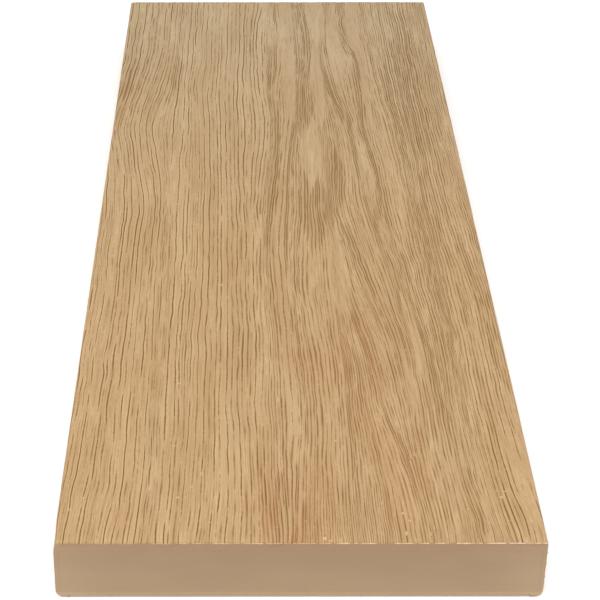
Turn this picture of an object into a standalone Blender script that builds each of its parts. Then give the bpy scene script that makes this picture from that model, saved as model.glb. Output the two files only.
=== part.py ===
"""Wood-effect threshold board: a short flat strip that bridges the floor edge in a doorway.

A moulded skin is wrapped round a laminated board. The skin covers the top and both long sides, and
turns under the board as two short lips. A thin backing fills the space between the lips. Inside are
a core and two thin fibre mats, one over the core and one under it. Both ends are saw cuts, where
every layer shows. Nothing in it moves.

Frame: metres, +Z up, +Y along the strip, origin at the middle of the underside.
Layers that are bonded on the real strip are kept one bond line apart.
"""

import math

import bmesh
import bpy

BOARD_WIDTH = 0.145
BOARD_THICKNESS = 0.022
BOARD_LENGTH = 0.375

SIDE_DRAFT = math.radians(1.7)
FOOT_RADIUS = 0.0025
LEFT_EDGE_RADIUS = 0.0012
RIGHT_EDGE_RADIUS = 0.0010

SKIN_TOP = 0.0020
SKIN_SIDE = 0.0015
SKIN_LIP = 0.0010
LIP_REACH = 0.0040
SKIN_INNER_RADIUS = 0.0006

BACKING_THICKNESS = 0.0010
MAT_THICKNESS = 0.0006
BOND_LINE = 0.0003

ARC_STEPS = 10
SHARP_ANGLE = math.radians(30.0)

COLOURS = {
    "wear_skin": ((0.58, 0.38, 0.22), 0.55),
    "upper_fibre_mat": ((0.55, 0.42, 0.28), 0.75),
    "core_board": ((0.46, 0.33, 0.21), 0.85),
    "lower_fibre_mat": ((0.55, 0.42, 0.28), 0.75),
    "backing_skin": ((0.50, 0.37, 0.24), 0.70),
}


def clear_scene():
    """Removes whatever the file holds, so that the script can run again."""
    for old in list(bpy.data.objects):
        bpy.data.objects.remove(old, do_unlink=True)


def material(name):
    """The plain finish of one layer."""
    colour, roughness = COLOURS[name]
    finish = bpy.data.materials.new(name)
    finish.use_nodes = True
    shader = finish.node_tree.nodes["Principled BSDF"]
    shader.inputs["Base Color"].default_value = (*colour, 1.0)
    shader.inputs["Roughness"].default_value = roughness
    shader.inputs["Metallic"].default_value = 0.0
    finish.diffuse_color = (*colour, 1.0)
    return finish


def arc(centre, radius, start, end):
    """Points along an arc in the X-Z plane, from the start angle to the end angle."""
    points = []
    for step in range(ARC_STEPS + 1):
        angle = start + (end - start) * step / ARC_STEPS
        x = centre[0] + radius * math.cos(angle)
        z = centre[1] + radius * math.sin(angle)
        points.append((x, z))
    return points


def flank_x(z, depth=0.0):
    """Where the sloping side face is at height z, or a face parallel to it and depth further in."""
    from_foot = (z - FOOT_RADIUS) * math.sin(SIDE_DRAFT)
    foot_centre = BOARD_WIDTH / 2 - FOOT_RADIUS
    return foot_centre + (FOOT_RADIUS - depth - from_foot) / math.cos(SIDE_DRAFT)


def skin_half(edge_radius):
    """One side of the skin's section, from its lip up to the top face and back, for the +X side.

    Returns the outer points, running up, and the inner points, running down.
    """
    foot_centre = (BOARD_WIDTH / 2 - FOOT_RADIUS, FOOT_RADIUS)
    edge_centre_z = BOARD_THICKNESS - edge_radius
    edge_centre = (flank_x(edge_centre_z, edge_radius), edge_centre_z)
    lip_x = BOARD_WIDTH / 2 - LIP_REACH
    outer = [(lip_x, 0.0)]
    outer += arc(foot_centre, FOOT_RADIUS, -math.pi / 2, SIDE_DRAFT)
    outer += arc(edge_centre, edge_radius, SIDE_DRAFT, math.pi / 2)

    inner_top = BOARD_THICKNESS - SKIN_TOP
    upper_z = inner_top - SKIN_INNER_RADIUS
    upper = (flank_x(upper_z, SKIN_SIDE + SKIN_INNER_RADIUS), upper_z)
    lower_z = SKIN_LIP + SKIN_INNER_RADIUS
    lower = (flank_x(lower_z, SKIN_SIDE + SKIN_INNER_RADIUS), lower_z)
    inner = arc(upper, SKIN_INNER_RADIUS, math.pi / 2, SIDE_DRAFT)
    inner += arc(lower, SKIN_INNER_RADIUS, SIDE_DRAFT, -math.pi / 2)
    inner += [(lip_x, SKIN_LIP)]
    return outer, inner


def mirrored(points):
    """The same points on the -X side, in the opposite order."""
    return [(-x, z) for x, z in reversed(points)]


def skin_section():
    """The skin's closed C-shaped section, anticlockwise seen from the near end."""
    right_outer, right_inner = skin_half(RIGHT_EDGE_RADIUS)
    left_outer, left_inner = skin_half(LEFT_EDGE_RADIUS)
    return right_outer + mirrored(left_outer) + mirrored(left_inner) + right_inner


def layer_section(low, high, side_gap):
    """A flat layer's section: its sides run parallel to the skin's, side_gap away from the flank."""
    return [
        (-flank_x(low, side_gap), low),
        (flank_x(low, side_gap), low),
        (flank_x(high, side_gap), high),
        (-flank_x(high, side_gap), high),
    ]


def backing_section():
    """The backing fills the space between the skin's two lips."""
    half = BOARD_WIDTH / 2 - LIP_REACH - BOND_LINE
    return [(-half, 0.0), (half, 0.0), (half, BACKING_THICKNESS), (-half, BACKING_THICKNESS)]


def extruded(name, section):
    """A named solid with this section, as long as the board."""
    shape = bmesh.new()
    ring = [shape.verts.new((x, -BOARD_LENGTH / 2, z)) for x, z in section]
    near_end = shape.faces.new(ring)
    swept = bmesh.ops.extrude_face_region(shape, geom=[near_end])
    moved = [item for item in swept["geom"] if isinstance(item, bmesh.types.BMVert)]
    bmesh.ops.translate(shape, verts=moved, vec=(0.0, BOARD_LENGTH, 0.0))
    bmesh.ops.recalc_face_normals(shape, faces=shape.faces)
    mesh = bpy.data.meshes.new(name)
    shape.to_mesh(mesh)
    shape.free()
    mesh.shade_smooth()
    mesh.set_sharp_from_angle(angle=SHARP_ANGLE)
    mesh.materials.append(material(name))
    layer = bpy.data.objects.new(name, mesh)
    bpy.context.scene.collection.objects.link(layer)
    return layer


def build():
    """Makes the five layers, from the top down, and puts them under one empty."""
    strip = bpy.data.objects.new("threshold_strip", None)
    bpy.context.scene.collection.objects.link(strip)

    inside = SKIN_SIDE + BOND_LINE
    upper_mat_top = BOARD_THICKNESS - SKIN_TOP - BOND_LINE
    upper_mat_foot = upper_mat_top - MAT_THICKNESS
    lower_mat_foot = BACKING_THICKNESS + BOND_LINE
    lower_mat_top = lower_mat_foot + MAT_THICKNESS
    core_foot = lower_mat_top + BOND_LINE
    core_top = upper_mat_foot - BOND_LINE

    layers = [
        extruded("wear_skin", skin_section()),
        extruded("upper_fibre_mat", layer_section(upper_mat_foot, upper_mat_top, inside)),
        extruded("core_board", layer_section(core_foot, core_top, inside)),
        extruded("lower_fibre_mat", layer_section(lower_mat_foot, lower_mat_top, inside)),
        extruded("backing_skin", backing_section()),
    ]
    for layer in layers:
        layer.parent = strip


clear_scene()
build()
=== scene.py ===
"""Looks of the wood-effect threshold strip: an embossed oak skin round a plain sawn board.

The skin is one dense sheet, unrolled across the strip: its middle is the top face, and it runs
down both sides and under to the two lips. The columns of its mesh follow the grain, so every
embossed line is a real groove. "across" is the distance along this sheet from the strip's middle,
below 0 on the left, and "place" is where a line belongs in the grain, from 0 at the left lip to 1
at the right one. x is across the strip and y along it, both from its middle, and z is up from its
underside. Shapes are in millimetres until mesh_object turns them into metres. The oak's material
reads the grain in millimetres; the sawn materials, the lights and the camera are in metres.
"""

import math

import bmesh
import bpy
import numpy as np
from mathutils import Matrix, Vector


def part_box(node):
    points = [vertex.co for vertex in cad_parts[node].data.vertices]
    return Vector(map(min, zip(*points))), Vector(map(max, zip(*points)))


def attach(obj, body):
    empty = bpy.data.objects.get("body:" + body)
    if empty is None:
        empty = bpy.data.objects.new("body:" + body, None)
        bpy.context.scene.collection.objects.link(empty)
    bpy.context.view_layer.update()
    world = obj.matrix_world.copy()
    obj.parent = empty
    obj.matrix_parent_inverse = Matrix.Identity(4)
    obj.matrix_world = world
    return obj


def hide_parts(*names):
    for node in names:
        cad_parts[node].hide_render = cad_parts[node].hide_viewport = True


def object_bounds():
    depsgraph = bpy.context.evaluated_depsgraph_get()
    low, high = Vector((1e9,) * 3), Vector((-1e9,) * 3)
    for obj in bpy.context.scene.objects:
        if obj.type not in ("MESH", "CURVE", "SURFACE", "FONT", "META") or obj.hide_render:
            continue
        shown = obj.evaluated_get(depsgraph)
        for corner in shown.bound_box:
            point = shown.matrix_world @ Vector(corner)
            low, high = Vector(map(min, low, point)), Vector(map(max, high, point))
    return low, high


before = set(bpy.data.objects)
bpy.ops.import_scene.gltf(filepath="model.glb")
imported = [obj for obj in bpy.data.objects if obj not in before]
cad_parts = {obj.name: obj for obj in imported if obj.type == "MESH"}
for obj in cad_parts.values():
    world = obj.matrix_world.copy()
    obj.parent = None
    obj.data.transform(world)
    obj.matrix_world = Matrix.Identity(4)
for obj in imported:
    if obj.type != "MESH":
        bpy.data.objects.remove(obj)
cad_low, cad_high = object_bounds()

MM = 0.001

# Seeds: one for the lines and their dashes, and one for each use of value_noise
SEED_LINES = 41
SEED_SWAY = 3
SEED_WANDER = 4
SEED_WAVER = 5
SEED_RELIEF = 7
SEED_CHIPS = 8
SEED_RAGGED = 9
SEED_FINE_BANDS = 11
SEED_WIDE_BANDS = 12
SEED_SAW = 13

# The skin's section, as it was moulded, and the gap between the pieces inside it
SIDE_DRAFT = math.radians(1.7)
FOOT_RADIUS = 2.5
EDGE_RADIUS = {-1: 1.2, 1: 1.0}
SKIN_SIDE = 1.5
SKIN_LIP = 1.0
SKIN_INNER_RADIUS = 0.6
CLEARANCE = 0.02

# How far its cut ends are chipped and its near left corner is worn down, and how far across and
# how far along that wear reaches
CUT_CHAMFER = 0.22
CORNER_WEAR = 0.7
CORNER_REACH = (1.8, 7.0)

# The skin's mesh: its rows along the strip, how far in from each end the second one is, how far
# apart the columns of plain wood are on top and on the sides, and how far past the top face the
# sides begin
ROWS = 164
END_INSET = 0.6
FILL_PITCH = 1.3
SIDE_PITCH = 1.6
PAST_EDGE = 3.0

# The steps across half of the skin's inner face, and round each of its inner corners
INNER_STEPS = 7
ARC_STEPS = 4

# Faces that meet at more than this angle have a sharp edge
SHARP_ANGLE = math.radians(35.0)

# The embossed lines: half a line's width, and the most of the gap to its neighbour that this may
# take; how far from its middle its rims are, as a share of a line in the count of lines; and how
# far below 0 the ink goes on a bold line's rims, which only gives them a painted highlight
GROOVE_DEPTH = 0.20
RELIEF_DEPTH = 0.03
LINE_HALF = (0.26, 0.46)
NEAREST_SHARE = 0.42
LINE_SHARE = 0.2
RIM_HIGHLIGHT_INK = 0.2

# How much the gap between two lines varies, as shares of the usual one, and how softly a line comes
# and goes as the grain opens and closes
LINE_SPACING = (0.62, 1.38)
RANK_EASE = 0.2

# A dash of a line, along it: the shortest, the longest tapering end, and the usual gap to the next
SHORTEST_DASH = 5.0
LONGEST_TAPER = 8.0
USUAL_GAP = 2.0

# How much wider the lines are near the calm corner and the far corners, and how many fewer
CALM_WIDER, FAR_WIDER = 0.3, 0.4
CALM_FEWER, FAR_FEWER = 0.45, 0.35

# Lines to the millimetre in a dark patch, and how strongly it is hatched
DARK_CROWDING = 0.85
DARK_HATCHING = 0.96

# What changes across the strip: places across it, and the value at each
CROWDING = ((-72, -36, -12, 6, 20, 72), (0.46, 0.42, 0.42, 0.54, 0.66, 0.72))
DASH_RUN = ((-72, -20, 10, 30, 72), (42, 36, 28, 22, 22))
DASH_RUN_NEAR = ((34, 46), (0.5, 1.5))
DASH_STRENGTH = ((-10, 20, 40, 50), (1.0, 0.75, 0.75, 0.95))
FAINTNESS = ((32, 46), (1.0, 0.5))
HATCHING = ((-50, -34, -10, 10, 40), (0.40, 0.54, 0.60, 0.76, 0.72))
CHIPPING = ((-72, -30, 30, 72), (0.2, 0.55, 0.7, 1.0))

# Where the near end's own length of dash gives way to the usual one, along the strip
NEAR_END = (-160, -60)

# How far a fine printed stroke runs, in a place where the grain is straight
STROKE_RUN = 10.0

# The sawn ends of the board's layers: the points across an end, the innermost row of them as a
# share of its half height, the rows more that the core has, and how far its edge is eased
CUT_STEPS = 240
CAP_START = 0.08
CORE_CAP_STEPS = 14
CUT_EASE = 0.02
PANEL_EASE = 0.3

# The saw's arcs on them: how deep, how far apart, and the middle of the blade, across and up
SAW_RELIEF = 0.03
SAW_PITCH = 3.2
BLADE_AT = (35.0, -118.0)

# The camera: its focal length for a picture this many dots wide, its place in metres, and how far
# it looks down, leans and turns
FOCAL_PX = 1519.75
FRAME_PX = 600
SENSOR = 36.0
CAMERA_AT = (-0.0161, -0.5057, 0.3338)
CAMERA_PITCH = math.radians(35.317)
CAMERA_ROLL = math.radians(-0.015)
CAMERA_YAW = math.radians(-0.057)
CAMERA_SHIFT = 0.0897

# The studio, in metres: the name, place, power and width of each light, and the floor
LIGHTS = (
    ("key_light", (-0.15, -0.95, 1.25), 24.0, 1.4),
    ("fill_light", (0.3, 0.6, 1.5), 3.0, 1.6),
)
SKY_STRENGTH = 0.75
FLOOR_GREY = 0.92
FLOOR_HALF = 3.0
FLOOR_DROP = 0.0002

skin_low, skin_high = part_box("wear_skin")
WIDTH = (skin_high.x - skin_low.x) / MM
HEIGHT = (skin_high.z - skin_low.z) / MM
LENGTH = (skin_high.y - skin_low.y) / MM
HALF_WIDTH, HALF_LENGTH = WIDTH / 2, LENGTH / 2
LIP_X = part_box("backing_skin")[1].x / MM
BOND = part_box("upper_fibre_mat")[0].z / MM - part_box("core_board")[1].z / MM
LIP_EDGE = LIP_X + BOND
INNER_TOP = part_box("upper_fibre_mat")[1].z / MM + BOND


# ---------------------------------------------------------------- the skin's section


def flank_x(z, depth=0.0):
    """Where the sloping side face is at height z, or a face parallel to it and depth further in."""
    from_foot = (z - FOOT_RADIUS) * math.sin(SIDE_DRAFT)
    return HALF_WIDTH - FOOT_RADIUS + (FOOT_RADIUS - depth - from_foot) / math.cos(SIDE_DRAFT)


def side_stretches(side):
    """Lengths of the outer surface's stretches on one side, from the strip's middle to the lip."""
    radius = EDGE_RADIUS[side]
    edge_z = HEIGHT - radius
    edge_x = flank_x(edge_z, radius)
    foot_x = HALF_WIDTH - FOOT_RADIUS
    flank = math.hypot(edge_x - foot_x, edge_z - FOOT_RADIUS)
    flank = math.sqrt(flank**2 - (FOOT_RADIUS - radius) ** 2)
    return (
        edge_x,
        radius * (math.pi / 2 - SIDE_DRAFT),
        flank,
        FOOT_RADIUS * (math.pi / 2 + SIDE_DRAFT),
        foot_x - LIP_EDGE,
    )


REACH = {side: sum(side_stretches(side)) for side in (-1, 1)}


def on_side(across, side):
    """Points (x, z) and normals (x, z) of the skin's outer surface, for one side's distances."""
    radius = EDGE_RADIUS[side]
    edge_z = HEIGHT - radius
    top, edge, flank, foot, _ = side_stretches(side)
    foot_x = HALF_WIDTH - FOOT_RADIUS
    cos, sin = math.cos(SIDE_DRAFT), math.sin(SIDE_DRAFT)

    past_top = across - top
    past_edge = past_top - edge
    past_flank = past_edge - flank
    past_foot = past_flank - foot
    edge_angle = math.pi / 2 - np.clip(past_top, 0, edge) / radius
    foot_angle = SIDE_DRAFT - np.clip(past_flank, 0, foot) / FOOT_RADIUS
    flank_start = (top + radius * cos, edge_z + radius * sin)

    stretch = [past_top < 0, past_edge < 0, past_flank < 0, past_foot < 0]
    x = np.select(
        stretch,
        [
            across,
            top + radius * np.cos(edge_angle),
            flank_start[0] + past_edge * sin,
            foot_x + FOOT_RADIUS * np.cos(foot_angle),
        ],
        foot_x - past_foot,
    )
    z = np.select(
        stretch,
        [
            np.full_like(across, HEIGHT),
            edge_z + radius * np.sin(edge_angle),
            flank_start[1] - past_edge * cos,
            FOOT_RADIUS + FOOT_RADIUS * np.sin(foot_angle),
        ],
        0.0,
    )
    normal_x = np.select(stretch, [0 * across, np.cos(edge_angle), cos, np.cos(foot_angle)], 0.0)
    up = [1 + 0 * across, np.sin(edge_angle), sin, np.sin(foot_angle)]
    return x, z, normal_x, np.select(stretch, up, -1.0)


def outer_surface(across):
    """Points and normals of the skin's outer surface, for distances across from its middle."""
    right = on_side(np.maximum(across, 0), 1)
    left = on_side(np.maximum(-across, 0), -1)
    is_right = across >= 0
    x, z, normal_x, normal_z = (np.where(is_right, a, b) for a, b in zip(right, left))
    flip = np.where(is_right, 1, -1)
    return x * flip, z, normal_x * flip, normal_z


def arc(centre, radius, start, end):
    """Points along an arc from one angle to another."""
    angles = np.linspace(start, end, ARC_STEPS + 1)
    return [(centre[0] + radius * math.cos(a), centre[1] + radius * math.sin(a)) for a in angles]


def inner_loop():
    """The skin's inner face, from the right lip's edge round to the left lip's edge."""
    upper_z = INNER_TOP - SKIN_INNER_RADIUS
    lower_z = SKIN_LIP + SKIN_INNER_RADIUS
    depth = SKIN_SIDE + SKIN_INNER_RADIUS
    upper = (flank_x(upper_z, depth), upper_z)
    lower = (flank_x(lower_z, depth), lower_z)
    half = [(LIP_EDGE, SKIN_LIP)]
    half += arc(lower, SKIN_INNER_RADIUS, -math.pi / 2, SIDE_DRAFT)
    half += arc(upper, SKIN_INNER_RADIUS, SIDE_DRAFT, math.pi / 2)
    half += [(x, INNER_TOP) for x in np.linspace(upper[0], 0, INNER_STEPS, endpoint=False)[1:]]
    return half + [(-x, z) for x, z in reversed(half)]


# ---------------------------------------------------------------- the grain


def smooth(t):
    """From 0 to 1 as t does, with soft ends."""
    t = np.clip(t, 0.0, 1.0)
    return t * t * (3 - 2 * t)


def ramp(value, start, end):
    """0 up to the start and 1 from the end on, with a soft rise between."""
    return smooth((value - start) / (end - start))


def value_noise(seed, x, y, cell_x, cell_y):
    """Smooth random values from -1 to 1, with features of about one cell."""
    table = np.random.default_rng(seed).uniform(-1, 1, (64, 64))
    u, v = x / cell_x + 32.5, y / cell_y + 32.5
    i, j = np.floor(u).astype(int), np.floor(v).astype(int)
    a, b = smooth(u - i), smooth(v - j)
    i0, j0, i1, j1 = i % 64, j % 64, (i + 1) % 64, (j + 1) % 64
    low = table[i0, j0] * (1 - a) + table[i1, j0] * a
    high = table[i0, j1] * (1 - a) + table[i1, j1] * a
    return low * (1 - b) + high * b


def bell(t):
    """1 where t is 0, and hardly anything from 2 on."""
    return np.exp(-(t**2))


# How the grain runs: how far across each guide line is, at even steps from the far end to the near
# end. The lines bow out over the left edge, and part twice round the cathedral figure on the right.
GRAIN_RUN = (
    (-63.5, -63.5, -64.0, -66.5, -69.5, -66.2, -63.5, -63.0, -63.0, -63.5, -64.0, -64.3, -66.0),
    (-53.0, -53.0, -53.7, -57.5, -60.0, -56.9, -52.7, -53.0, -53.0, -53.0, -53.0, -52.5, -54.0),
    (-48.7, -48.7, -48.7, -51.0, -55.0, -51.5, -48.7, -48.5, -48.5, -47.5, -48.0, -47.5, -48.5),
    (-41.9, -42.0, -42.3, -42.7, -42.0, -42.5, -42.4, -41.9, -41.5, -42.0, -42.0, -42.0, -42.5),
    (-35.6, -35.8, -35.6, -36.9, -35.0, -34.0, -34.0, -33.5, -33.5, -34.0, -34.0, -34.5, -35.5),
    (-19.5, -19.5, -20.0, -20.5, -20.0, -19.3, -18.5, -18.5, -18.5, -17.7, -18.0, -16.5, -16.5),
    (-7.5, -10.0, -10.2, -9.4, -7.0, -9.0, -11.0, -10.6, -10.5, -10.0, -10.5, -10.2, -9.0),
    (-0.2, 1.5, 0.6, -1.7, -1.8, -3.1, -5.6, -8.0, -7.3, -6.0, -5.5, -5.0, -4.0),
    (7.0, 7.5, 7.5, 6.5, 4.7, 1.9, 0.6, -1.0, -0.6, 0.2, 1.5, 0.0, -1.2),
    (10.6, 13.2, 12.6, 9.4, 8.7, 8.0, 7.3, 5.8, 5.0, 7.5, 8.5, 8.0, 7.5),
    (17.0, 16.5, 16.0, 15.5, 14.5, 14.0, 14.0, 15.0, 15.5, 16.5, 17.0, 17.0, 17.0),
    (19.3, 17.8, 17.0, 17.5, 18.0, 18.0, 17.5, 19.0, 20.8, 26.0, 29.0, 34.5, 37.0),
    (21.5, 19.0, 18.0, 19.0, 21.0, 21.5, 20.0, 23.7, 28.8, 34.0, 36.2, 37.7, 39.5),
    (23.7, 20.6, 19.4, 21.9, 27.1, 29.0, 30.6, 34.0, 37.5, 40.4, 41.2, 42.0, 43.5),
    (31.2, 29.4, 33.5, 34.0, 33.5, 36.5, 37.5, 40.5, 43.0, 45.6, 46.2, 47.5, 49.0),
    (37.5, 38.7, 39.1, 40.0, 42.5, 44.4, 45.6, 47.0, 49.0, 50.5, 50.5, 51.0, 54.0),
    (52.5, 53.0, 53.0, 53.0, 53.5, 54.0, 54.5, 55.5, 56.5, 57.5, 58.0, 59.0, 62.0),
    (60.0, 60.0, 60.0, 60.0, 60.5, 61.0, 61.5, 63.5, 66.0, 66.5, 67.0, 69.0, 72.0),
    (70.0, 70.0, 70.0, 70.0, 70.0, 70.5, 71.0, 72.0, 73.5, 74.0, 75.0, 77.0, 80.0),
)


def guides_at(y):
    """How far across every guide line is at each y, on smooth curves through their stations."""
    steps = len(GRAIN_RUN[0])
    table = np.array([(-REACH[-1],) * steps, *GRAIN_RUN, (REACH[1],) * steps])
    table = np.concatenate([table[:, :1], table, table[:, -1:]], axis=1)
    at = (HALF_LENGTH - y) / LENGTH * (steps - 1)
    i = np.clip(np.floor(at).astype(int), 0, steps - 2)
    t = at - i
    before, here, then, after = (table[:, i + k] for k in range(4))
    bend = 2 * before - 5 * here + 4 * then - after
    twist = 3 * (here - then) + after - before
    return (here + 0.5 * t * (then - before + t * (bend + t * twist))).T


def flow(place, y_rows):
    """How far across the lines at these places in the grain run, one row for each y."""
    guides = guides_at(y_rows)
    widest = np.diff(guides, axis=1).max(axis=0)
    stations = np.concatenate([[0], np.cumsum(widest)])
    across = np.array([np.interp(place * stations[-1], stations, row) for row in guides])
    y = y_rows[:, None]
    fade = ramp(np.abs(across), 92, 72)
    sway = 0.5 * value_noise(SEED_SWAY, across, y, 26, 60)
    wander = 0.32 * value_noise(SEED_WANDER, across, y, 7, 13)
    waver = 0.22 * value_noise(SEED_WAVER, across, y, 2.5, 5)
    return across + fade * (sway + (wander + waver))


def openness(place, y_rows):
    """How wide the grain is at each place of each row, as a share of the widest that it gets."""
    gaps = np.diff(guides_at(y_rows), axis=1)
    widest = gaps.max(axis=0)
    middles = np.cumsum(widest) - widest / 2
    at = place * widest.sum()
    return np.array([np.interp(row, middles, shares) for row, shares in zip(at, gaps / widest)])


# Plain light tongues, and darker patches of close lines: middle x, middle y from the near end, half
# width, half length, lean (x gained for each y), and strength, below 0 for a plain tongue.
FIGURES = (
    (3.6, 335, 3.2, 85, 0.0, -1.0),
    (-5.5, 362, 2.6, 30, 0.0, -0.6),
    (17.5, 362, 4.6, 36, 0.0, -1.0),
    (16.0, 285, 2.6, 36, 0.0, -0.9),
    (26.0, 330, 4.0, 42, 0.0, -0.9),
    (35.0, 352, 3.0, 38, 0.0, -1.0),
    (37.2, 290, 1.7, 42, 0.0, -0.9),
    (11.0, 228, 4.6, 28, 0.0, -0.75),
    (32.5, 212, 2.4, 30, -0.04, -0.6),
    (17.0, 170, 2.8, 9, 0.0, -1.0),
    (18.0, 140, 3.6, 28, -0.04, -0.8),
    (10.0, 146, 2.6, 12, 0.0, -0.6),
    (-13.0, 169, 2.8, 11, 0.0, -0.9),
    (-13.0, 62, 4.5, 8, 0.0, -0.7),
    (38.6, 72, 1.7, 16, -0.05, -0.9),
    (43.0, 90, 1.8, 16, -0.08, -0.6),
    (69.0, 40, 3.0, 34, 0.0, -0.5),
    (3.5, 22, 2.4, 14, 0.0, -0.6),
    (-27.0, 370, 6.0, 26, 0.0, -0.4),
    (-41.0, 200, 7.0, 22, 0.0, -0.4),
    (13.0, 332, 1.6, 24, 0.0, 1.0),
    (9.6, 266, 4.4, 16, 0.02, 0.65),
    (-3.6, 306, 2.1, 22, 0.04, 0.9),
    (21.2, 208, 3.2, 20, 0.0, 0.9),
    (12.0, 180, 7.5, 22, 0.0, 0.9),
    (22.6, 280, 1.9, 26, -0.13, 0.9),
    (34.0, 288, 1.2, 40, 0.0, 0.8),
    (29.6, 336, 1.4, 15, 0.0, 1.0),
    (26.0, 150, 1.8, 24, -0.19, 1.0),
    (24.5, 104, 2.3, 22, -0.15, 0.9),
    (33.0, 40, 2.0, 20, -0.2, 0.5),
    (14.0, 84, 13.0, 14, 0.0, 0.35),
    (-1.0, 12, 7.0, 26, 0.0, 0.7),
    (22.0, 2, 9.0, 26, 0.0, 0.45),
    (-19.0, 90, 3.5, 20, 0.0, 0.5),
    (57.0, 285, 12.0, 56, 0.0, 0.5),
    (46.5, 78, 1.8, 40, -0.06, 0.5),
    (-70.0, 285, 3.5, 70, 0.05, 0.4),
    (-57.0, 290, 13.0, 28, 0.1, 0.3),
    (-42.0, 175, 16.0, 16, 0.0, 0.12),
    (-3.0, 226, 1.0, 38, 0.03, 0.8),
    (-6.4, 180, 1.2, 24, 0.08, 0.9),
    (3.0, 228, 1.0, 28, 0.09, 0.9),
    (0.0, 176, 0.8, 30, 0.03, 0.6),
    (35.6, 228, 1.0, 24, -0.08, 0.8),
    (38.2, 188, 1.0, 20, -0.03, 0.7),
    (28.6, 236, 1.0, 34, -0.03, 0.8),
    (34.5, 106, 1.4, 22, -0.13, 0.6),
    (56.0, 190, 2.5, 30, -0.03, 0.3),
    (65.5, 146, 1.8, 24, -0.15, 0.4),
    (52.5, 28, 1.3, 30, -0.1, 0.5),
    (61.0, 16, 1.2, 22, -0.1, 0.5),
    (68.0, 92, 1.0, 14, 0.0, 0.8),
    (41.5, 104, 1.2, 24, -0.1, -0.5),
    (50.0, 62, 1.4, 34, -0.04, -0.25),
    (56.5, 24, 2.0, 24, -0.1, -0.4),
    (64.0, 66, 2.0, 28, -0.04, -0.25),
    (43.0, 205, 2.0, 30, -0.04, -0.5),
)


# Where the brown of the streaks turns to rust: middle x, middle y from the near end, half width and
# half length
WARM_SPOTS = (
    (16, 92, 16, 34),
    (-5, 10, 16, 40),
    (32, 40, 9, 34),
    (-68, 262, 10, 30),
)


def warmth(across, y):
    """How much the streaks turn to rust, from 0 to 1."""
    from_near = y + HALF_LENGTH
    total = np.zeros_like(across)
    for x0, y0, half_x, half_y in WARM_SPOTS:
        total += bell((across - x0) / half_x) * bell((from_near - y0) / half_y)
    return np.clip(total, 0, 1)


def on_top(across):
    """1 on the top face, and down to 0 on the sides."""
    return ramp(np.abs(across), HALF_WIDTH + 9, HALF_WIDTH - 3)


def on_right(across):
    """0 on the left and 1 on the right, with a soft change at the middle."""
    return ramp(across, -14, 10)


def calm_corner(across, y):
    """How near the near right corner is, where lines are fewer and wider, from 0 to 1."""
    return ramp(across, 38, 50) * ramp(y + HALF_LENGTH, 85, 35)


def far_corners(across, y):
    """How near a far corner is, where lines are fewer, wider and bold, from 0 to 1."""
    return ramp(np.abs(across), 42, 56) * ramp(y + HALF_LENGTH, 215, 275)


def figure_tone(across, y, place):
    """From -1 in a plain tongue to 1 in a dark patch, with ends that are ragged line by line."""
    from_near = y + HALF_LENGTH
    ragged = 9 * value_noise(SEED_RAGGED, place * 200, 0 * place, 0.8, 1.0)
    tone = np.zeros_like(across)
    for x0, y0, half_x, half_y, lean, strength in FIGURES:
        off_x = (across - x0 - lean * (from_near - y0)) / half_x
        off_y = (from_near - y0 + ragged) / half_y
        tone += strength * smooth((1.2 - off_x**2 - off_y**2) / 0.4)
    return np.clip(tone, -1, 1)


def crowding(across, tone):
    """How many embossed lines there are to the millimetre."""
    plain = np.interp(across, *CROWDING)
    dark = np.maximum(plain, DARK_CROWDING)
    share = np.clip(tone, 0, 1)
    return plain * (1 - np.clip(-tone, 0, 1)) * (1 - share) + dark * share


def banding(place, y, crush):
    """Growth bands a few millimetres wide along the grain, from 0 in pale wood to 1 in dark."""
    fine = value_noise(SEED_FINE_BANDS, place, y, 1.7, 55)
    coarse = value_noise(SEED_WIDE_BANDS, place, y, 3.8, 80)
    noise = fine + (coarse - fine) * np.clip(crush, 0, 1)
    return smooth(noise * 1.3 + 0.5)


def line_places(rng):
    """Where the lines lie across the widest fan, from 0 to 1, as close as they need to be."""
    probe = np.linspace(0, 1, 1201)
    y_rows = np.linspace(-HALF_LENGTH, HALF_LENGTH, 61)
    across = flow(probe, y_rows)
    wanted = crowding(across, figure_tone(across, y_rows[:, None], probe))
    need = (wanted * np.gradient(across, axis=1)).max(axis=0)
    count = np.cumsum(need)
    places, at = [], rng.uniform(0.3, 0.7)
    while at < count[-1] - 0.5:
        places.append(float(np.interp(at, count, probe)))
        at += rng.uniform(*LINE_SPACING)
    return np.array(places)


def rank(index):
    """A number from 0 to 1 for each line, spread so that any share of the lines lies evenly."""
    value, step = 0.0, 0.5
    while index:
        value += step * (index % 2)
        index //= 2
        step /= 2
    return value


def dashes(rng, y, x):
    """How deep the line at x is along y, from 0 to 1: runs with tapering ends, faint between."""
    usual_run = float(np.interp(x, *DASH_RUN))
    near_share = float(np.interp(x, *DASH_RUN_NEAR))
    boldness = float(np.interp(x, *DASH_STRENGTH))
    depth = np.full_like(y, rng.uniform(0.0, 0.1))
    at = y[0] - rng.uniform(0, 40)
    while at < y[-1]:
        typical = usual_run * float(np.interp(at, NEAR_END, (near_share, 1.0)))
        run = max(SHORTEST_DASH, rng.lognormal(math.log(typical), 0.5))
        strength = rng.uniform(0.4, 1.0) * boldness
        taper = min(run * 0.3, LONGEST_TAPER)
        rise = smooth((y - at) / taper)
        fall = smooth((at + run - y) / taper)
        depth = np.maximum(depth, strength * rise * fall)
        at += run + rng.lognormal(math.log(USUAL_GAP), 0.8) - taper * 0.6
    return depth


# ---------------------------------------------------------------- mesh helpers


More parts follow.
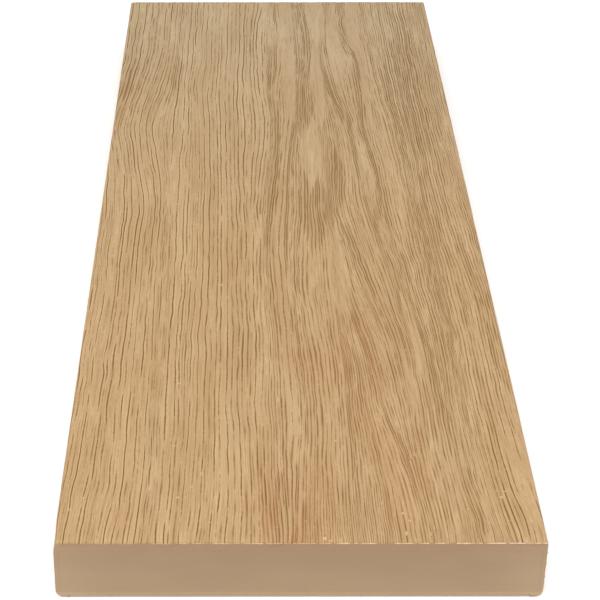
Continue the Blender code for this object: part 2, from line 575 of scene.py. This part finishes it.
def mesh_object(name, points, faces):
    """A closed mesh object from points in millimetres."""
    mesh = bpy.data.meshes.new(name)
    mesh.from_pydata((np.asarray(points) * MM).tolist(), [], faces)
    mesh.validate()
    shell = bmesh.new()
    shell.from_mesh(mesh)
    bmesh.ops.recalc_face_normals(shell, faces=shell.faces)
    shell.to_mesh(mesh)
    shell.free()
    mesh.shade_smooth()
    mesh.set_sharp_from_angle(angle=SHARP_ANGLE)
    made = bpy.data.objects.new(name, mesh)
    bpy.context.scene.collection.objects.link(made)
    return made


def on_every_point(mesh, values):
    """The values of the skin's outer surface, row by row, and 0 on its inner face."""
    rows, columns = values.shape
    spread = np.zeros((rows, len(mesh.vertices) // rows), np.float32)
    spread[:, :columns] = values
    return spread


def add_values(mesh, name, values):
    """One number at each point of the skin, for its material to read."""
    store = mesh.attributes.new(name, "FLOAT", "POINT")
    store.data.foreach_set("value", on_every_point(mesh, values).ravel())


def add_vectors(mesh, name, *axes):
    """One vector at each point of the skin, from its values on each axis."""
    store = mesh.attributes.new(name, "FLOAT_VECTOR", "POINT")
    vectors = np.stack([on_every_point(mesh, values) for values in axes], -1)
    store.data.foreach_set("vector", vectors.ravel())


def tube_faces(rows, around):
    """Quads joining rows of points that each go once around."""
    r, c = np.meshgrid(np.arange(rows - 1), np.arange(around), indexing="ij")
    here, beside = r * around + c, r * around + (c + 1) % around
    return np.stack([here, beside, beside + around, here + around], -1).reshape(-1, 4).tolist()


def ladder_faces(first, around):
    """Quads that close a row whose second half runs back over its first half, point over point."""
    return [
        [first + i, first + i + 1, first + around - 2 - i, first + around - 1 - i]
        for i in range(around // 2 - 1)
    ]


def strip_faces(points, left, right):
    """Triangles that fill the strip between two runs of points, each with its shorter diagonal."""
    faces = []
    i = j = 0
    while i < len(left) - 1 or j < len(right) - 1:
        if i == len(left) - 1:
            step_left = False
        elif j == len(right) - 1:
            step_left = True
        else:
            by_left = np.linalg.norm(points[left[i + 1]] - points[right[j]])
            by_right = np.linalg.norm(points[left[i]] - points[right[j + 1]])
            step_left = by_left < by_right
        faces.append([left[i], right[j], left[i + 1] if step_left else right[j + 1]])
        i, j = (i + 1, j) if step_left else (i, j + 1)
    return faces


# ---------------------------------------------------------------- the pieces


def embossed_lines(rng, y_rows):
    """The lines' places in the grain and, in every row, how far across each one's middle is, half
    its width, and its ink. Near the corners there are fewer, and they are wider."""
    places = line_places(rng)
    centres = flow(places, y_rows)
    gaps = np.gradient(centres, axis=1)
    apart = np.diff(centres, axis=1)
    nearest = np.minimum(np.hstack([apart[:, :1], apart]), np.hstack([apart, apart[:, -1:]]))
    widths = rng.uniform(*LINE_HALF, len(places)) * np.interp(places, (0.4, 0.6), (1.0, 0.8))
    calm = calm_corner(centres, y_rows[:, None])
    far = far_corners(centres, y_rows[:, None])
    wider = 1 + CALM_WIDER * calm + FAR_WIDER * far
    halves = np.minimum(widths * wider, NEAREST_SHARE * nearest)

    tone = figure_tone(centres, y_rows[:, None], places)
    share = crowding(centres, tone) * gaps * (1 - CALM_FEWER * calm - FAR_FEWER * far)
    ranks = np.array([rank(i) for i in range(len(places))])
    shown = smooth((share - ranks) / RANK_EASE + 0.5)
    ink = np.stack([dashes(rng, y_rows, x) for x in centres.mean(axis=0)], axis=1)
    return places, centres, halves, np.clip(ink * shown * (1 + 0.3 * tone), 0, 1)


def skin_columns(y_rows):
    """The skin's mesh columns: how far across each is in every row, its ink, its place in the
    grain, and how many lines there are up to it. Each line has three columns, its middle and its
    two rims, and the plain wood between has its own."""
    rng = np.random.default_rng(SEED_LINES)
    places, centres, halves, ink = embossed_lines(rng, y_rows)
    # The ink below 0 on the rims only paints a highlight on them
    rim_highlight = -RIM_HIGHLIGHT_INK * ink
    none = np.zeros(len(y_rows))
    columns = [(none - REACH[-1], none, 0.0, -1.0)]
    last_place = 0.0
    for i, place in enumerate([*places, 1.0]):
        ending = i == len(places)
        start = columns[-1][0]
        stop = none + REACH[1] if ending else centres[:, i] - halves[:, i]
        pitch = FILL_PITCH if np.abs(start).min() < HALF_WIDTH + PAST_EDGE else SIDE_PITCH
        extra = int((stop - start).max() / pitch)
        for k in range(extra):
            t = (k + 1) / (extra + 1)
            here = last_place + (place - last_place) * t
            count = i - 1 + LINE_SHARE + (1 - 2 * LINE_SHARE) * t
            columns.append((start + (stop - start) * t, none, here, count))
        columns.append((stop, none if ending else rim_highlight[:, i], place, i - LINE_SHARE))
        if not ending:
            columns.append((centres[:, i], ink[:, i], place, i))
            columns.append((centres[:, i] + halves[:, i], rim_highlight[:, i], place, i + LINE_SHARE))
        last_place = place
    across, ink, place, count = (np.stack(c, axis=-1) for c in zip(*columns))
    return across, ink, np.broadcast_to(place, across.shape), np.broadcast_to(count, across.shape)


def faded(ink, across, y, band):
    """The ink once it fades: on the sides, and on the right between the two corners there."""
    faint = on_right(across) * np.interp(across, *FAINTNESS) * (0.42 + 0.2 * (1 - band))
    faint *= 1 - 0.9 * calm_corner(across, y) - far_corners(across, y)
    return ink * (0.35 + 0.65 * on_top(across)) * (1 - faint)


def worn_depth(across, y, ink, chips):
    """How far below the moulded surface the skin is: its grooves, a faint relief, the chips along
    its cut ends and its worn corner."""
    relief = RELIEF_DEPTH * value_noise(SEED_RELIEF, across, y, 3.5, 45) * on_top(across)
    depth = GROOVE_DEPTH * np.maximum(ink, 0) - np.minimum(relief, 0)
    depth[[0, -1]] += CUT_CHAMFER * chips
    corner = -side_stretches(-1)[0] - EDGE_RADIUS[-1]
    reach_x, reach_y = CORNER_REACH
    depth += CORNER_WEAR * bell((across - corner) / reach_x) * bell((y + HALF_LENGTH) / reach_y)
    return depth


def hatching_strength(across, y, tone, band):
    """How strong the fine printed strokes are, from 0 to 1: weak in the light tongues and in the
    calm corner, and strong in the dark patches."""
    plain = np.interp(across, *HATCHING) * (0.75 + 0.25 * band)
    plain *= (1 - 0.3 * calm_corner(across, y)) * (1 + 0.08 * on_right(across) * (1 - band))
    return np.where(tone < 0, plain * (1 + 0.72 * tone), plain + (DARK_HATCHING - plain) * tone)


def skin_mesh(across, y, depth):
    """The skin as one closed mesh: its outer and inner faces joined round both lips, and its two
    cut ends, which take its second material."""
    x, z, normal_x, normal_z = outer_surface(across)
    outer = np.stack([x - normal_x * depth, y, z - normal_z * depth], -1)
    inner = np.array(inner_loop())
    inner_grid = np.zeros((len(outer), len(inner), 3))
    inner_grid[:, :, 0] = inner[:, 0]
    inner_grid[:, :, 1] = y[:, :1]
    inner_grid[:, :, 2] = inner[:, 1]
    grid = np.concatenate([outer, inner_grid], axis=1)
    points = grid.reshape(-1, 3)
    rows, around = grid.shape[:2]
    faces = tube_faces(rows, around)
    sheet = len(faces)
    for first in (0, (rows - 1) * around):
        outside = np.arange(first, first + across.shape[1])
        inside = np.arange(first + around - 1, first + across.shape[1] - 1, -1)
        faces += strip_faces(points, outside, inside)
    skin = mesh_object("oak_embossed_skin", points, [list(map(int, face)) for face in faces])
    on_cap = np.arange(len(skin.data.polygons)) >= sheet
    skin.data.polygons.foreach_set("material_index", on_cap.astype(np.int32))
    return skin


def embossed_skin():
    """The wood-effect skin, with every embossed line as a groove, and what its material reads."""
    inside = np.linspace(-HALF_LENGTH + END_INSET, HALF_LENGTH - END_INSET, ROWS - 2)
    y_rows = np.array([-HALF_LENGTH, *inside, HALF_LENGTH])
    across, ink, place, count = skin_columns(y_rows)
    y = np.broadcast_to(y_rows[:, None], across.shape)
    crush = -np.log2(openness(place, y_rows))
    widest = np.diff(guides_at(y_rows), axis=1).max(axis=0).sum()
    band = banding(place * widest, y, crush)
    tone = figure_tone(across, y, place)
    ink = faded(ink, across, y, band)

    ends = across[[0, -1]]
    chips = 0.6 + 0.5 * value_noise(SEED_CHIPS, ends, y[[0, -1]], 1.1, 7)
    cut = np.zeros_like(across)
    cut[[0, -1]] = chips * np.interp(ends, *CHIPPING)

    skin = skin_mesh(across, y, worn_depth(across, y, ink, chips))
    add_values(skin.data, "ink", ink)
    add_values(skin.data, "tone", tone * np.where(tone > 0, 0.8, 1.0))
    add_values(skin.data, "band", band)
    add_values(skin.data, "hatching", hatching_strength(across, y, tone, band))
    add_values(skin.data, "warmth", warmth(across, y))
    add_values(skin.data, "count", count)
    add_values(skin.data, "cut", cut)
    add_values(skin.data, "crush", crush)
    add_vectors(skin.data, "grain", place * widest, y, 0 * y)
    return skin


def board_layer(name, low, high, half_low, half_high, ease=CUT_EASE, cap_steps=0):
    """A flat layer of the board, as long as the strip, with eased ends that keep the saw's faint
    arcs. half_low and half_high are half its width along its lower and its upper face."""
    shares = np.linspace(-1, 1, CUT_STEPS)
    across = np.concatenate([shares, shares[::-1]])
    level = np.concatenate([0 * shares - 1, 0 * shares + 1])
    middle, half_height = (low + high) / 2, (high - low) / 2

    def ring(share, inset):
        """One row around, at a share of the layer's half height, and this far in from the end."""
        height = level * share
        x = across * (half_low + (half_high - half_low) * (height + 1) / 2)
        z = middle + height * half_height
        return x, HALF_LENGTH - inset + 0 * x, z

    rows = []
    for share in np.linspace(CAP_START, 1 - ease / half_height, cap_steps + 2):
        x, y, z = ring(share, 0.0)
        blade = np.hypot(x - BLADE_AT[0], z - BLADE_AT[1])
        arcs = SAW_RELIEF * (0.5 + 0.5 * np.sin(blade * 2 * math.pi / SAW_PITCH))
        rows.append((x, y - arcs * (0.5 + 0.5 * value_noise(SEED_SAW, x, z, 9, 4)), z))
    rows.append(ring(1.0, ease))
    far = np.array([np.stack(row, -1) for row in rows])
    grid = np.concatenate([far * (1, -1, 1), far[::-1]])
    around = len(across)
    faces = tube_faces(len(grid), around)
    faces += ladder_faces(0, around) + ladder_faces((len(grid) - 1) * around, around)
    return mesh_object(name, grid.reshape(-1, 3), faces)


# ---------------------------------------------------------------- materials


class Graph:
    """A material's node tree, with short calls for the nodes used here."""

    def __init__(self, name):
        self.material = bpy.data.materials.new(name)
        self.material.use_nodes = True
        self.tree = self.material.node_tree
        self.shader = self.tree.nodes["Principled BSDF"]

    def put(self, value, socket):
        """Links another node's output to a socket, or gives the socket a constant."""
        if isinstance(value, bpy.types.NodeSocket):
            self.tree.links.new(value, socket)
        elif value is not None:
            socket.default_value = value

    def attribute(self, name, output="Fac"):
        """A value that the mesh holds at each of its points."""
        node = self.tree.nodes.new("ShaderNodeAttribute")
        node.attribute_name = name
        return node.outputs[output]

    def math(self, operation, a, b=None, c=None, clamp=False):
        node = self.tree.nodes.new("ShaderNodeMath")
        node.operation = operation
        node.use_clamp = clamp
        for value, socket in zip((a, b, c), node.inputs):
            self.put(value, socket)
        return node.outputs[0]

    def vector_math(self, operation, a, b):
        node = self.tree.nodes.new("ShaderNodeVectorMath")
        node.operation = operation
        self.put(a, node.inputs[0])
        self.put(b, node.inputs[1])
        return node.outputs[0]

    def vector(self, x, y=0.0):
        node = self.tree.nodes.new("ShaderNodeCombineXYZ")
        self.put(x, node.inputs[0])
        self.put(y, node.inputs[1])
        return node.outputs[0]

    def separate(self, vector, axis):
        node = self.tree.nodes.new("ShaderNodeSeparateXYZ")
        self.put(vector, node.inputs[0])
        return node.outputs[axis]

    def noise(self, vector, detail, scale=1.0, roughness=0.5):
        node = self.tree.nodes.new("ShaderNodeTexNoise")
        self.put(vector, node.inputs["Vector"])
        node.inputs["Scale"].default_value = scale
        node.inputs["Detail"].default_value = detail
        node.inputs["Roughness"].default_value = roughness
        return node.outputs["Fac"]

    def grain_noise(self, grain, cell, detail, roughness=0.5):
        """Noise along the grain. The cell is how far across and how far along, in millimetres."""
        cells = self.vector_math("MULTIPLY", grain, (1 / cell[0], 1 / cell[1], 1))
        return self.noise(cells, detail, roughness=roughness)

    def between(self, value, low, high, to_low=0.0, to_high=1.0):
        """A soft change from to_low to to_high, while the value goes from low to high."""
        node = self.tree.nodes.new("ShaderNodeMapRange")
        node.interpolation_type = "SMOOTHSTEP"
        for socket, given in zip(node.inputs, (value, low, high, to_low, to_high)):
            self.put(given, socket)
        return node.outputs["Result"]

    def mix(self, share, a, b, blend="MIX"):
        """A colour between two others."""
        node = self.tree.nodes.new("ShaderNodeMix")
        node.data_type = "RGBA"
        node.blend_type = blend
        colours = [s for s in node.inputs if s.type == "RGBA"]
        self.put(share, node.inputs[0])
        self.put(a, colours[0])
        self.put(b, colours[1])
        return next(s for s in node.outputs if s.type == "RGBA")

    def blend(self, share, a, b):
        """A number between two others."""
        node = self.tree.nodes.new("ShaderNodeMix")
        for value, socket in zip((share, a, b), (node.inputs[0], node.inputs[2], node.inputs[3])):
            self.put(value, socket)
        return node.outputs[0]

    def surface(self, colour, roughness, specular):
        """Gives the shader its colour, its roughness and its specular level."""
        self.put(colour, self.shader.inputs["Base Color"])
        self.put(roughness, self.shader.inputs["Roughness"])
        self.shader.inputs["Specular IOR Level"].default_value = specular

    def bump(self, height, distance, strength):
        """Lets the surface look uneven, by this many metres at most."""
        node = self.tree.nodes.new("ShaderNodeBump")
        node.inputs["Strength"].default_value = strength
        node.inputs["Distance"].default_value = distance
        self.put(height, node.inputs["Height"])
        self.put(node.outputs["Normal"], self.shader.inputs["Normal"])


def linear(red, green, blue):
    """A colour given as 0 to 255 screen values, as the shader wants it."""
    shares = [value / 255 for value in (red, green, blue)]
    curve = [s / 12.92 if s <= 0.04045 else ((s + 0.055) / 1.055) ** 2.4 for s in shares]
    return (*curve, 1.0)


# The oak's colours: its plain wood, its streaks, its embossed lines and the fine strokes, the
# painted highlight on the rims of the lines, the painted glints towards the near end, and the burr
# along the cut ends, which is also a painted highlight on their chamfer
LIGHT = linear(193, 166, 128)
HONEY = linear(185, 155, 116)
BROWN = linear(133, 98, 52)
RUST = linear(148, 97, 50)
LINE = linear(103, 70, 21)
PENCIL = linear(113, 78, 27)
RUSTY_PENCIL = linear(130, 80, 38)
PAINTED_RIM_HIGHLIGHT = linear(204, 177, 134)
PAINTED_GLINT = linear(216, 192, 158)
BURR_AND_EDGE_HIGHLIGHT = linear(220, 195, 172)

# Painted sheen: what the near end's and the far end's colours are multiplied by; the far end's is
# greyer and cooler, for the reflection that a grazing view catches
NEAR_SHEEN_TINT = (0.908, 0.870, 0.82, 1)
FAR_SHEEN_TINT = (0.868, 0.918, 0.955, 1)

# The sawn layers' colours, where they are darkest and where they are palest
CORE = (linear(138, 115, 89), linear(163, 139, 112))
FIBRE = (linear(139, 115, 90), linear(165, 140, 113))
MOULDED = (linear(144, 121, 96), linear(165, 141, 114))
CUT_SKIN = (linear(138, 114, 89), linear(163, 139, 112))
CUT_SKIN_STAIN = linear(143, 112, 83)
# The painted shadow along the foot of each end
PAINTED_FOOT_SHADOW = linear(104, 84, 62)

# How much each layer of the print, and each painted highlight and painted glint, covers what is
# under it
BAND_COVER = 0.10
DARK_COVER = 0.26
STREAK_COVER = (0.02, 0.34)
STROKE_COVER = 0.84
RIM_HIGHLIGHT_COVER = 0.45
EDGE_COVER = 0.45
LINE_COVER = 0.76
MOTTLE_COVER = 0.16
PAINTED_GLINT_COVER = 0.6
BURR_AND_EDGE_HIGHLIGHT_COVER = 0.95

# The cells of the oak's noises: how far across and how far along the grain, in millimetres
SHAKE_CELL = (0.8, 4.5)
CLOUD_CELL = (14, 60)
FIBRE_CELL = (0.26, 20)
GLINT_CELL = (0.24, 2.6)
MOTTLE_CELL = (0.5, 1.8)

# How rough and how glossy the surfaces are, and how uneven they look: metres, and strength
OAK_ROUGHNESS = (0.45, 0.7)
OAK_SPECULAR = 0.2
OAK_BUMP = (0.00012, 0.5)
SAWN_ROUGHNESS = (0.75, 0.9)
SAWN_SPECULAR = 0.25
SAWN_BUMP = (0.00004, 0.4)

# How many times wider the fine patterns get, step by step, where the grain is crushed together
WIDER = (1, 2, 4)


def by_crush(g, crush, patterns, change):
    """The pattern that suits how crushed the grain is, from one for each of WIDER. The first change
    comes where crush reaches change, and the others 1 apart from it."""
    chosen = patterns[0]
    for step, pattern in enumerate(patterns[1:]):
        at = change + step
        chosen = g.blend(g.between(crush, at - 0.02, at + 0.02), chosen, pattern)
    return chosen


def hatch_lines(g, crush, wanted):
    """Fine printed strokes with tapering ends: one halfway between every two embossed lines, and
    one on every embossed line. wanted is how strong they are, from 0 to 1."""
    along = g.separate(g.attribute("grain", "Vector"), 1)
    steps = []
    for wider in WIDER:
        at = g.math("MULTIPLY_ADD", g.attribute("count"), 2 / wider, 0.5)
        line = g.math("FLOOR", at)
        run = g.math("MULTIPLY", along, 1 / STROKE_RUN)
        chance = g.noise(g.vector(g.math("MULTIPLY", line, 3.7), run), detail=1)
        strength = g.math("MULTIPLY_ADD", chance, 1.8, g.math("SUBTRACT", wanted, 0.9))
        half = g.between(strength, 0.0, 1.0, 0.08, 0.17)
        from_line = g.math("ABSOLUTE", g.math("SUBTRACT", g.math("SUBTRACT", at, line), 0.5))
        core = g.between(g.math("SUBTRACT", half, from_line), -0.06, 0.10)
        steps.append(g.math("MULTIPLY", core, g.between(strength, 0.0, 1.1)))
    return by_crush(g, crush, steps, 0.15)


def streaked_wood(g, clouds, fibres, deep):
    """Plain wood in two pale colours, with its growth bands, dark patches and brown streaks."""
    tone = g.attribute("tone")
    dark_share = g.math("MAXIMUM", tone, 0.0)
    light_share = g.math("MAXIMUM", g.math("MULTIPLY", tone, -1.0), 0.0)
    colour = g.mix(g.between(clouds, 0.35, 0.65), LIGHT, HONEY)
    colour = g.mix(g.math("MULTIPLY", g.attribute("band"), BAND_COVER), colour, deep)
    colour = g.mix(g.math("MULTIPLY", dark_share, DARK_COVER), colour, deep)
    weaker = g.math("MULTIPLY_ADD", light_share, -0.4, 1.0)
    streaks = g.math("MULTIPLY", g.between(fibres, 0.38, 0.62, *STREAK_COVER), weaker)
    return g.mix(streaks, colour, BROWN)


def inked(g, colour, ink, mottle):
    """The wood with its embossed lines: a painted highlight on their rims, then a ragged brown edge
    and a dark middle.
    """
    # Painted highlight: the rims of the lines turn paler
    colour = g.mix(g.between(ink, 0.0, -RIM_HIGHLIGHT_INK, 0.0, RIM_HIGHLIGHT_COVER), colour, PAINTED_RIM_HIGHLIGHT)
    ragged = g.math("MULTIPLY_ADD", mottle, 0.5, g.math("SUBTRACT", ink, 0.25))
    colour = g.mix(g.between(ragged, 0.02, 0.5, 0.0, EDGE_COVER), colour, BROWN)
    colour = g.mix(g.between(ragged, 0.2, 0.65, 0.0, LINE_COVER), colour, LINE)
    return g.mix(g.between(mottle, 0.3, 0.7, 0.0, MOTTLE_COVER), colour, BROWN)


def glints_and_worn_ends(g, colour, grain, clouds, near):
    """The wood with painted glints, small pale flecks of light, towards its near end, and a pale
    edge at both ends that is a torn burr and also a painted highlight on their chamfer.
    """
    # Painted glints: small pale flecks of light, most of them towards the near end
    glint_noise = g.grain_noise(grain, GLINT_CELL, detail=0)
    end = g.between(g.separate(grain, 1), -135.0, -185.0, 0.0, 0.06)
    glinting = g.between(g.math("ADD", glint_noise, end), 0.80, 0.86)
    glinting = g.math("MULTIPLY", glinting, g.between(clouds, 0.42, 0.56))
    cover = g.math("MULTIPLY", glinting, g.math("MULTIPLY", near, PAINTED_GLINT_COVER))
    colour = g.mix(cover, colour, PAINTED_GLINT)
    # The pale edge along both cut ends: a torn burr, and a painted highlight on the chamfer there
    cut = g.attribute("cut")
    bruised = g.mix(g.between(cut, 0.0, 0.1, 0.0, 0.3), colour, BROWN)
    return g.mix(g.math("MULTIPLY", g.between(cut, 0.1, 0.7), BURR_AND_EDGE_HIGHLIGHT_COVER), bruised, BURR_AND_EDGE_HIGHLIGHT)


def oak_material():
    """Printed oak: warm plain wood, brown streaks and close hatching, and dark embossed lines."""
    g = Graph("embossed_oak")
    crush = g.attribute("crush")
    ink = g.attribute("ink")
    straight = g.attribute("grain", "Vector")
    shake = g.grain_noise(straight, SHAKE_CELL, detail=1)
    shift = g.vector(g.math("MULTIPLY_ADD", shake, 0.4, -0.2))
    grain = g.vector_math("ADD", straight, shift)
    clouds = g.grain_noise(grain, CLOUD_CELL, detail=3)
    fine, run = FIBRE_CELL
    steps = [g.grain_noise(grain, (fine * wider, run), detail=1) for wider in WIDER]
    fibres = by_crush(g, crush, steps, 0.5)
    mottle = g.grain_noise(grain, MOTTLE_CELL, detail=2, roughness=0.7)
    near = g.between(g.separate(grain, 1), 20.0, -110.0)
    warm = g.math("MULTIPLY_ADD", near, 0.12, g.attribute("warmth"), clamp=True)

    colour = streaked_wood(g, clouds, fibres, g.mix(warm, BROWN, RUST))
    stroke = hatch_lines(g, crush, g.attribute("hatching"))
    stroke = g.math("MULTIPLY", stroke, g.between(ink, 0.1, 0.5, 1.0, 0.0))
    pencil = g.mix(warm, PENCIL, RUSTY_PENCIL)
    colour = g.mix(g.math("MULTIPLY", stroke, STROKE_COVER), colour, pencil)
    colour = inked(g, colour, ink, mottle)
    colour = glints_and_worn_ends(g, colour, grain, clouds, near)
    # Painted sheen: the colour turns greyer and cooler towards the far end, for the reflection of
    # the white surroundings at a grazing view
    along = g.between(g.separate(grain, 1), -60.0, 190.0)
    colour = g.mix(1.0, colour, g.mix(along, NEAR_SHEEN_TINT, FAR_SHEEN_TINT), "MULTIPLY")

    g.surface(colour, g.between(ink, 0.0, 1.0, *OAK_ROUGHNESS), OAK_SPECULAR)
    height = g.math("ADD", g.math("MULTIPLY", fibres, -0.5), g.math("MULTIPLY", stroke, -1.0))
    g.bump(height, *OAK_BUMP)
    return g.material


def sawn_material(name, middle, pale, stain=None):
    """A smooth sawn and sealed layer with fine grit: paler towards the sides and the foot, with
    painted light that makes each end paler from its top down, blotchy away from the ends, and with
    a painted shadow, a thin dark line, along the foot of each end. stain is a warmer colour that
    has soaked in along its top edge."""
    g = Graph(name)
    where = g.tree.nodes.new("ShaderNodeTexCoord").outputs["Object"]
    x, y, z = (g.separate(where, axis) for axis in range(3))
    mottle = g.noise(g.vector_math("MULTIPLY", where, (55, 55, 140)), detail=3)
    grit = g.noise(where, detail=2, scale=2600)
    from_side = g.between(g.math("ABSOLUTE", x), 0.050, 0.072, 0.0, 0.25)
    # Painted light: each end turns paler from its top down towards its foot
    painted_light_down = g.between(z, 0.020, 0.0, 0.0, 0.33)
    from_foot = g.between(z, 0.0028, 0.0010, 0.0, 0.4)
    paler = g.math("ADD", g.math("ADD", from_side, painted_light_down), from_foot)

    at_end = (g.math("ABSOLUTE", y), (HALF_LENGTH - 3.0) * MM, (HALF_LENGTH - 1.0) * MM)
    blotch = g.between(mottle, 0.3, 0.7, -0.06, 0.06)
    blotch = g.math("MULTIPLY", blotch, g.between(*at_end, 4.0, 1.0))
    colour = g.mix(g.math("ADD", paler, blotch, clamp=True), middle, pale)
    # Painted shadow: a thin dark line along the foot of each end, where the strip meets the floor
    foot = g.math("MULTIPLY", g.between(z, 0.0005, 0.0002, 0.0, 0.8), g.between(*at_end))
    colour = g.mix(foot, colour, PAINTED_FOOT_SHADOW)
    if stain:
        soaked = g.noise(g.vector_math("MULTIPLY", where, (170, 170, 60)), detail=3)
        depth = g.math("MULTIPLY_ADD", soaked, 0.0022, 0.0198)
        share = g.between(g.math("SUBTRACT", z, depth), -0.0004, 0.0006)
        colour = g.mix(g.math("MULTIPLY", share, 0.8), colour, stain)
    colour = g.mix(g.between(grit, 0.3, 0.7, 0.0, 0.06), colour, stain or middle)

    g.surface(colour, g.between(grit, 0.3, 0.7, *SAWN_ROUGHNESS), SAWN_SPECULAR)
    g.bump(grit, *SAWN_BUMP)
    return g.material


# ---------------------------------------------------------------- building


def place(piece, node, slot, *materials):
    """Gives a piece its materials and its body, and hides the CAD node that it stands for."""
    for finish in materials:
        piece.data.materials.append(finish)
    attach(piece, "root")
    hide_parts(node)


def filling_layer(name, low, high, cap_steps=0):
    """A layer between two heights that fills the skin from side to side."""
    side = SKIN_SIDE + CLEARANCE
    halves = flank_x(low, side), flank_x(high, side)
    return board_layer(name, low, high, *halves, cap_steps=cap_steps)


def build_strip():
    """The five pieces, from the skin down to the backing."""
    cut_skin = sawn_material("cut_skin", *CUT_SKIN, CUT_SKIN_STAIN)
    place(embossed_skin(), "wear_skin", "wood_effect_skin", oak_material(), cut_skin)

    fibre = sawn_material("sealed_fibre", *FIBRE)
    upper_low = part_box("upper_fibre_mat")[0].z / MM - BOND / 2
    upper = filling_layer("upper_fibre_band", upper_low, INNER_TOP - CLEARANCE)
    place(upper, "upper_fibre_mat", "fibre_mat", fibre)

    lower_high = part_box("lower_fibre_mat")[1].z / MM + BOND / 2
    core_low, core_high = lower_high + CLEARANCE, upper_low - CLEARANCE
    core = filling_layer("sawn_core_board", core_low, core_high, CORE_CAP_STEPS)
    place(core, "core_board", "filled_core", sawn_material("sawn_core", *CORE))

    panel_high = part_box("backing_skin")[1].z / MM + CLEARANCE
    lower = filling_layer("lower_fibre_band", panel_high + CLEARANCE, lower_high)
    place(lower, "lower_fibre_mat", "fibre_mat", fibre)

    half = LIP_X + BOND / 2
    panel = board_layer("backing_panel", 0, panel_high, half, half, ease=PANEL_EASE)
    place(panel, "backing_skin", "backing_skin", sawn_material("moulded_backing", *MOULDED))


def pale_floor():
    """A pale floor just below the strip."""
    mesh = bpy.data.meshes.new("floor")
    corners = [(x * FLOOR_HALF, y * FLOOR_HALF, 0) for x, y in ((-1, -1), (1, -1), (1, 1), (-1, 1))]
    mesh.from_pydata(corners, [], [(0, 1, 2, 3)])
    floor = bpy.data.objects.new("floor", mesh)
    floor.location.z = cad_low.z - FLOOR_DROP
    bpy.context.scene.collection.objects.link(floor)
    g = Graph("pale_floor")
    g.shader.inputs["Base Color"].default_value = (FLOOR_GREY, FLOOR_GREY, FLOOR_GREY, 1)
    g.shader.inputs["Roughness"].default_value = 0.9
    mesh.materials.append(g.material)


def soft_light():
    """A white sky, and the lights, which all point at the frame's origin."""
    world = bpy.data.worlds.new("soft_studio")
    world.use_nodes = True
    background = world.node_tree.nodes["Background"]
    background.inputs["Color"].default_value = (1, 1, 1, 1)
    background.inputs["Strength"].default_value = SKY_STRENGTH
    bpy.context.scene.world = world
    for name, at, power, width in LIGHTS:
        lamp = bpy.data.lights.new(name, "AREA")
        lamp.energy = power
        lamp.shape = "SQUARE"
        lamp.size = width
        light = bpy.data.objects.new(name, lamp)
        light.location = at
        light.rotation_euler = (-light.location).to_track_quat("-Z", "Y").to_euler()
        bpy.context.scene.collection.objects.link(light)


def photo_camera():
    """The camera, where the photo was taken from."""
    lens = bpy.data.cameras.new("camera")
    lens.sensor_width = SENSOR
    lens.lens = FOCAL_PX / FRAME_PX * SENSOR
    lens.shift_x = CAMERA_SHIFT
    lens.clip_start, lens.clip_end = 0.01, 20
    camera = bpy.data.objects.new("camera", lens)
    turn = Matrix.Rotation(CAMERA_YAW, 4, "Z")
    pitch = Matrix.Rotation(math.pi / 2 - CAMERA_PITCH, 4, "X")
    roll = Matrix.Rotation(CAMERA_ROLL, 4, "Z")
    camera.matrix_world = Matrix.Translation(CAMERA_AT) @ turn @ pitch @ roll
    bpy.context.scene.collection.objects.link(camera)
    bpy.context.scene.camera = camera


build_strip()
pale_floor()
soft_light()
photo_camera()
bpy.context.scene.view_settings.view_transform = "Standard"
